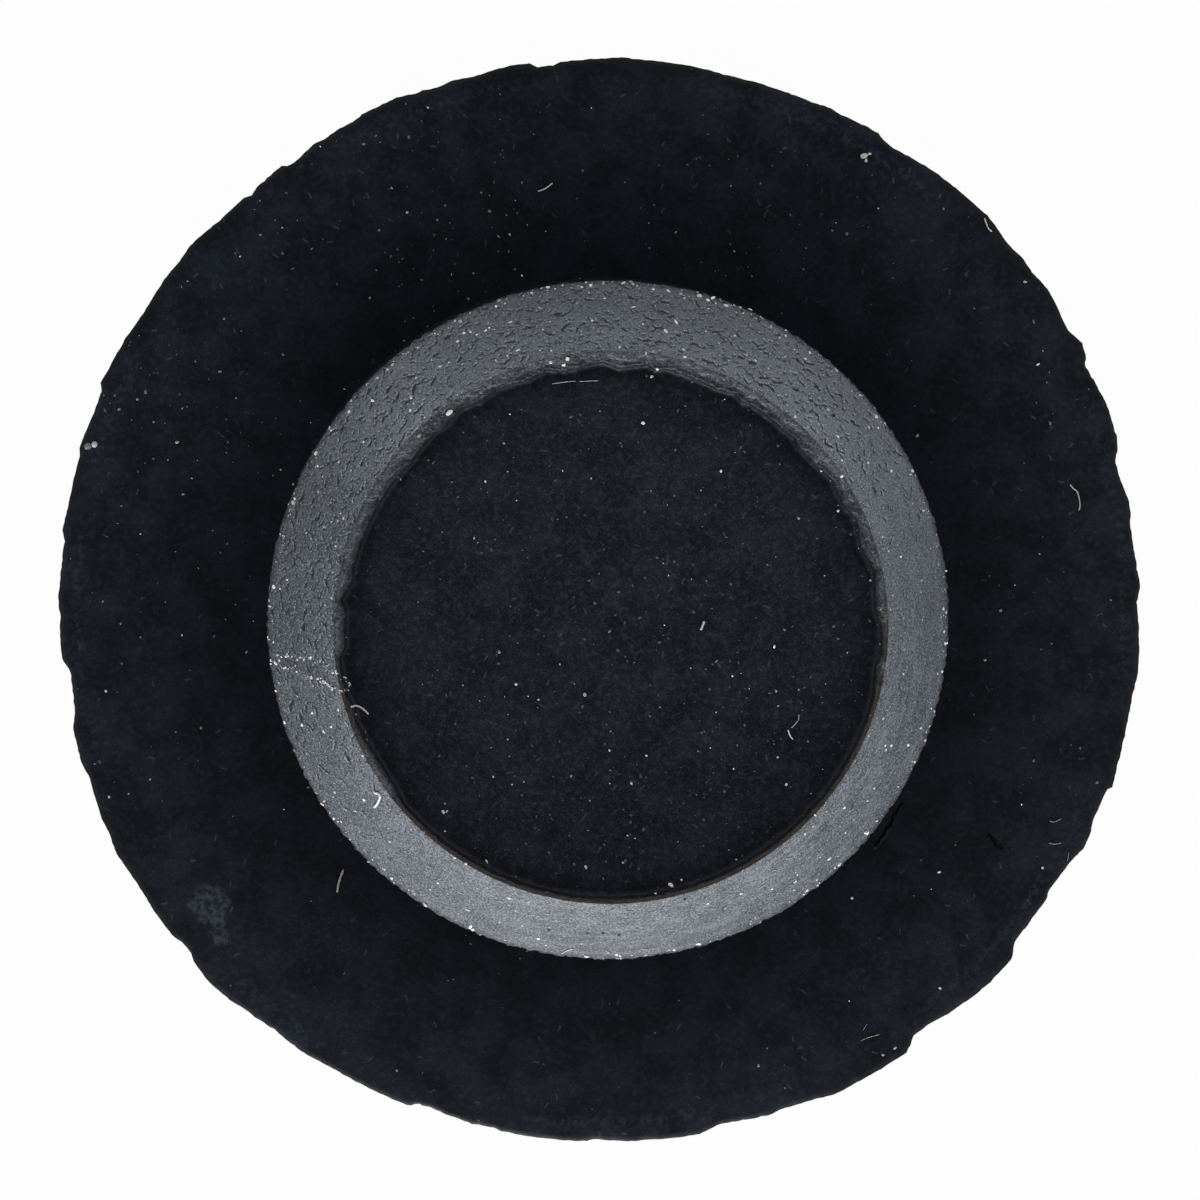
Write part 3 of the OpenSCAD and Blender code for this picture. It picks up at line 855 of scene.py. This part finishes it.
def scatter_dust(body, photo, material):
    """Specks of dust on the moulding, thickest on the worn side of the taper, and the larger chips."""
    luck = random.Random(5)
    bits = list(CHIPS)
    for x, y in CRUMBS * CRUMBS_EACH:
        long = luck.uniform(0.025, 0.065)
        x += luck.uniform(-3, 3)
        y += luck.uniform(-1.5, 1.5)
        wide = long * luck.uniform(0.4, 0.9)
        bits.append((x, y, long, wide, luck.uniform(-50, 20), luck.uniform(0.4, 1.0)))
    finds = [photo.find(x, y) for x, y, *_ in bits]
    mesh = bpy.data.meshes.new("chips")
    mesh.from_pydata([place for place, _ in finds], [], [])
    for name, kind, values in (
        ("facing", "FLOAT_VECTOR", [part for _, facing in finds for part in facing]),
        ("size", "FLOAT_VECTOR", [part * MM for bit in bits for part in (bit[2], bit[3], 0.6 * bit[3])]),
        ("turn", "FLOAT", [math.radians(bit[4]) for bit in bits]),
        ("pale", "FLOAT", [bit[5] for bit in bits]),
    ):
        trait = mesh.attributes.new(name, kind, "POINT")
        trait.data.foreach_set("vector" if kind == "FLOAT_VECTOR" else "value", values)
    chips = add_object("chips", mesh)

    graph, source, values = geometry_tree("dust_scatter", {
        "Specks Per Square Metre": ("Float", 1.1e6),
        "Smallest Size": ("Float", 0.018 * MM),
        "Largest Size": ("Float", 0.078 * MM),
        "Worn Side": ("Vector", WORN_SIDE),
        "Chips": ("Object", chips),
        "Seed": ("Int", 7),
    })
    position = graph.node("GeometryNodeInputPosition")
    x, y, z = graph.split(position)
    outward = graph.vector("NORMALIZE", graph.join(x, y, 0.0))
    worn = graph.vector("DOT_PRODUCT", outward, source.output("Worn Side")) * 0.5 + 0.5
    faces_up = graph.step(graph.split(graph.node("GeometryNodeInputNormal"))[2], 0.3, 0.5)
    patches = graph.step(graph.noise(position, 0.35 / MM, 2.0), 0.4, 0.65)
    on_taper = graph.step(attribute(graph, "taper"), 0.2, 0.8)
    on_end = graph.step(z, END_LEVEL_Z * MM, (END_LEVEL_Z + 0.1) * MM) * (1 - on_taper)
    on_flange = 1 - graph.step(z, FLANGE_LEVEL_Z * MM, (FLANGE_LEVEL_Z + 0.1) * MM)
    at_edge = on_taper * (1 - graph.step(z, (TAPER_Z + 0.1) * MM, (TAPER_Z + 0.2) * MM))
    share = (
        on_taper * (worn * worn * 5.0 + 2.2)
        + at_edge * (worn * 10.0 + 24.0)
        + on_end * (10.0 - worn * 6.0)
        + on_flange * (patches * worn * worn * 6.0 + 0.7)
    )
    density = faces_up * share * source.output("Specks Per Square Metre")
    points = graph.node("GeometryNodeDistributePointsOnFaces", {"distribute_method": "RANDOM"}, {
        "Mesh": source.output("Geometry"), "Density": density, "Seed": source.output("Seed")})

    def chance(number, low=0.0, high=1.0):
        inputs = {2: low, 3: high, "Seed": source.output("Seed") + number}
        return graph.node("FunctionNodeRandomValue", {"data_type": "FLOAT"}, inputs, 1)

    def turned(facing, angle):
        spin = graph.node("FunctionNodeAxisAngleToRotation", inputs={"Axis": AXIS, "Angle": angle})
        return graph.node("FunctionNodeRotateRotation", {"rotation_space": "LOCAL"}, {0: facing, 1: spin})

    small, large = source.output("Smallest Size"), source.output("Largest Size")
    rare = chance(1)
    size = (small + (large - small) * rare * rare * rare) * (at_edge * 0.5 + 1.0)
    shape = graph.join(chance(2, 0.8, 1.5), chance(3, 0.6, 1.1), chance(4, 0.4, 0.8))
    speck = graph.node("GeometryNodeMeshIcoSphere", inputs={"Radius": 0.5, "Subdivisions": 1})
    luminous = chance(5)
    faint = graph.math("POWER", luminous, 8.0)
    dusted = attribute(graph, "taper")
    dusted = store(graph, points, "pale", faint * (1 - dusted) + (luminous * 0.65 + 0.35) * dusted)
    specks = graph.node("GeometryNodeInstanceOnPoints", inputs={
        "Points": dusted, "Instance": speck, "Scale": graph.vector("SCALE", shape, size),
        "Rotation": turned(points.output("Rotation"), chance(6, 0.0, 6.28))})

    carried = geometry_of(graph, source.output("Chips"))
    facing = graph.node("FunctionNodeAlignRotationToVector", {"axis": "Z"}, {
        "Vector": attribute(graph, "facing", "FLOAT_VECTOR")})
    chip = graph.node("GeometryNodeMeshIcoSphere", inputs={"Radius": 0.5, "Subdivisions": 2})
    laid = graph.node("GeometryNodeInstanceOnPoints", inputs={
        "Points": carried, "Instance": chip, "Scale": attribute(graph, "size", "FLOAT_VECTOR"),
        "Rotation": turned(facing, attribute(graph, "turn"))})
    joined = graph.node("GeometryNodeJoinGeometry", inputs={0: specks})
    graph.feed(joined.socket.node.inputs[0], laid)
    rough = graph.node("GeometryNodeRealizeInstances", inputs={"Geometry": joined})
    bump = (graph.noise(position, 22.0 / MM, 2.0) - 0.5) * (0.05 * MM)
    rough = graph.node("GeometryNodeSetPosition", inputs={
        "Geometry": rough, "Offset": graph.vector("SCALE", graph.node("GeometryNodeInputNormal"), bump)})
    made = apply_tree(body, graph, rough, values, material, "dust")
    bpy.data.objects.remove(chips)
    return made


def lay_lint(photo, material):
    """Fibres that lie along the paths in LINT."""
    places, edges, thick, straw = [], [], [], []
    for thickness, colour, path in LINT:
        for i, (x, y) in enumerate(path):
            place, facing = photo.find(x, y)
            if i:
                edges.append((len(places) - 1, len(places)))
            places.append(place + facing * (0.5 * thickness * MM))
            thick.append(thickness * MM)
            straw.append(colour)
    mesh = bpy.data.meshes.new("lint_paths")
    mesh.from_pydata(places, edges, [])
    for name, values in (("thick", thick), ("straw", straw)):
        mesh.attributes.new(name, "FLOAT", "POINT").data.foreach_set("value", values)
    carrier = add_object("lint_paths", mesh)

    graph, source, values = geometry_tree("lint_fibres", {
        "Sides": ("Int", 7),
        "Points Per Fibre": ("Int", 18),
        "Blunt End": ("Float", 0.35),
    })
    paths = graph.node("GeometryNodeMeshToCurve", inputs={"Mesh": source.output("Geometry")})
    paths = graph.node("GeometryNodeCurveSplineType", {"spline_type": "CATMULL_ROM"}, {"Curve": paths})
    paths = graph.node("GeometryNodeResampleCurve", {"mode": "COUNT"}, {
        "Curve": paths, "Count": source.output("Points Per Fibre")})
    along = graph.node("GeometryNodeSplineParameter")
    middle = 1 - graph.math("ABSOLUTE", along * 2.0 - 1.0)
    blunt = graph.math("MINIMUM", middle * 8.0 + source.output("Blunt End"), 1.0)
    uneven = graph.noise(graph.node("GeometryNodeInputPosition"), 12.0 / MM, 1.0) * 0.7 + 0.65
    section = graph.node("GeometryNodeCurvePrimitiveCircle", inputs={
        "Resolution": source.output("Sides"), "Radius": 0.5})
    fibres = graph.node("GeometryNodeCurveToMesh", inputs={
        "Curve": paths, "Profile Curve": section, "Scale": attribute(graph, "thick") * blunt * uneven,
        "Fill Caps": True})
    fibres = graph.node("GeometryNodeSetShadeSmooth", inputs={"Geometry": fibres})
    made = apply_tree(carrier, graph, fibres, values, material, "lint")
    bpy.data.objects.remove(carrier)
    point_outwards(made.data)
    return made


# Camera, floor and light

def view_axes():
    """The camera's right, up and backward directions."""
    lean = math.sin(VIEW_TILT)
    back = Vector((lean * math.cos(VIEW_SIDE), lean * math.sin(VIEW_SIDE), math.cos(VIEW_TILT)))
    right = Vector((0, 1, 0)).cross(back).normalized()
    return right, back.cross(right), back


def camera():
    axes = view_axes()
    data = bpy.data.cameras.new("camera")
    data.sensor_width = SENSOR_W
    data.lens = SENSOR_W * VIEW_DISTANCE / (PHOTO_W / PX_PER_MM * MM)
    data.clip_start = 0.01
    data.clip_end = 10
    made = bpy.data.objects.new("camera", data)
    turn = Matrix(axes).transposed().to_4x4()
    made.matrix_world = Matrix.Translation(VIEW_TARGET + axes[2] * VIEW_DISTANCE) @ turn
    bpy.context.scene.collection.objects.link(made)
    bpy.context.scene.camera = made


def floor():
    half = 0.6
    mesh = bpy.data.meshes.new("floor")
    corners = [(-half, -half, 0), (half, -half, 0), (half, half, 0), (-half, half, 0)]
    mesh.from_pydata(corners, [], [(0, 1, 2, 3)])
    made = add_object("floor", mesh)
    material, graph = new_material("white_floor")
    paint = graph.node("ShaderNodeBsdfDiffuse", inputs={"Color": FLOOR_PAINT})
    glow = graph.node("ShaderNodeEmission", inputs={"Color": WHITE, "Strength": 1.0})
    seen = graph.node("ShaderNodeLightPath", output="Is Camera Ray")
    lifted = graph.node("ShaderNodeMixShader", inputs={0: seen * FLOOR_WHITE, 1: paint, 2: glow})
    graph.node("ShaderNodeOutputMaterial", inputs={"Surface": lifted})
    mesh.materials.append(material)


def softbox(name, azimuth, elevation, distance, width, height, watts):
    """A soft lamp that looks at the grommet. The azimuth is counted from +X towards +Y, in degrees."""
    a = math.radians(azimuth)
    e = math.radians(elevation)
    away = Vector((math.cos(a) * math.cos(e), math.sin(a) * math.cos(e), math.sin(e)))
    data = bpy.data.lights.new(name, "AREA")
    data.shape = "RECTANGLE"
    data.size = width
    data.size_y = height
    data.energy = watts
    made = bpy.data.objects.new(name, data)
    made.location = away * distance + Vector((0, 0, NOSE_Z * MM / 2))
    made.rotation_euler = away.to_track_quat("Z", "Y").to_euler()
    bpy.context.scene.collection.objects.link(made)


def lights():
    """A low key lamp and an even ring of soft light from the sides, with a dark ceiling."""
    softbox("key_below", azimuth=-97, elevation=4.8, distance=0.4, width=0.26, height=0.05, watts=1.85)
    world = bpy.data.worlds.new("studio")
    world.use_nodes = True
    world.node_tree.nodes.clear()
    graph = Graph(world.node_tree)
    height = graph.split(graph.node("ShaderNodeTexCoord", output="Generated"))[2]
    glow = (1 - graph.step(height, 0.45, 0.9)) * SIDE_GLOW + CEILING_GLOW
    seen = graph.node("ShaderNodeLightPath", output="Is Camera Ray")
    strength = glow * (1 - seen) + seen
    sky = graph.node("ShaderNodeBackground", inputs={"Color": WHITE, "Strength": strength})
    graph.node("ShaderNodeOutputWorld", inputs={"Surface": sky})
    bpy.context.scene.world = world


bpy.context.scene.view_settings.view_transform = "Standard"
camera()
floor()
lights()

black_rubber, rubber_graph = new_material("black_rubber")
body = revolve(black_rubber)
photo = Photo(body)
rubber(rubber_graph, {
    "foot_slit": photo.find_path(FOOT_SLIT),
    "foot_slit_lip": photo.find_path(FOOT_SLIT_LIP),
    "flange_slit": photo.find_path(FLANGE_SLIT),
    "crack": photo.find_path(CRACK),
    "pits": photo.find_path(PITS),
    "smudges": [(photo.find_mm(x, y), across, along) for x, y, across, along in SMUDGES],
})
dust = scatter_dust(body, photo, dust_finish())
lint = lay_lint(photo, lint_finish())
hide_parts("grommet")
for piece in (body, dust, lint):
    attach(piece, "root")
